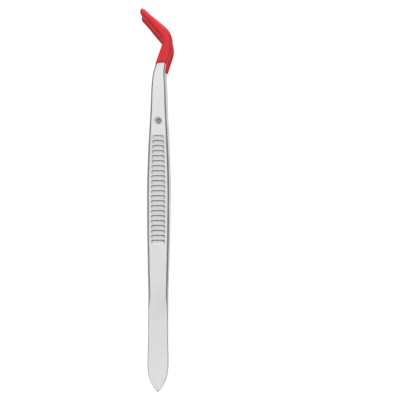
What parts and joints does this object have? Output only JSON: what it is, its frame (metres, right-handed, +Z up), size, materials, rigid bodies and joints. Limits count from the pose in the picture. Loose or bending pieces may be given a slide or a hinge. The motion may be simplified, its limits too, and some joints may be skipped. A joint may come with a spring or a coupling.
{
  "type": "bent-tip coated tweezers",
  "caption": "Slim steel tweezers with scooped finger grips, a guide pin, a pointed butt and sideways-bent tips in soft red coating.",
  "frame": {"origin": "on the table under the middle of the outline, with the tweezers lying on the lower arm's flat outer face", "axes": "+Z up, +Y from the butt towards the tips, +X away from the side that the tips bend to"},
  "size_m": [0.0131, 0.1549, 0.0199],
  "materials": {
    "arm_steel": "satin, finely brushed along the arm",
    "pin_steel": "turned, darker than the arms",
    "weld_metal": "ground flush, slightly tinted",
    "tip_coating": "smooth dipped vinyl, soft gloss"
  },
  "bodies": {
    "butt": {"butt_weld": "weld_metal", "upper_spring_leaf": "arm_steel", "lower_spring_leaf": "arm_steel"},
    "upper": {"upper_arm": "arm_steel", "upper_tip_sleeve": "tip_coating"},
    "lower": {"lower_arm": "arm_steel", "lower_tip_sleeve": "tip_coating", "guide_pin": "pin_steel"}
  },
  "joints": [
    {"name": "upper_flex", "type": "hinge", "parent": "butt", "child": "upper", "pos_m": [0.00115, -0.05554, 0.00431], "axis": [-1, 0, 0], "range_deg": [0, 1.87], "stiffness_Nm_per_rad": 8},
    {"name": "lower_flex", "type": "hinge", "parent": "butt", "child": "lower", "pos_m": [0.00115, -0.05535, 0.0016], "axis": [1, 0, 0], "range_deg": [0, 1.87], "stiffness_Nm_per_rad": 8}
  ]
}
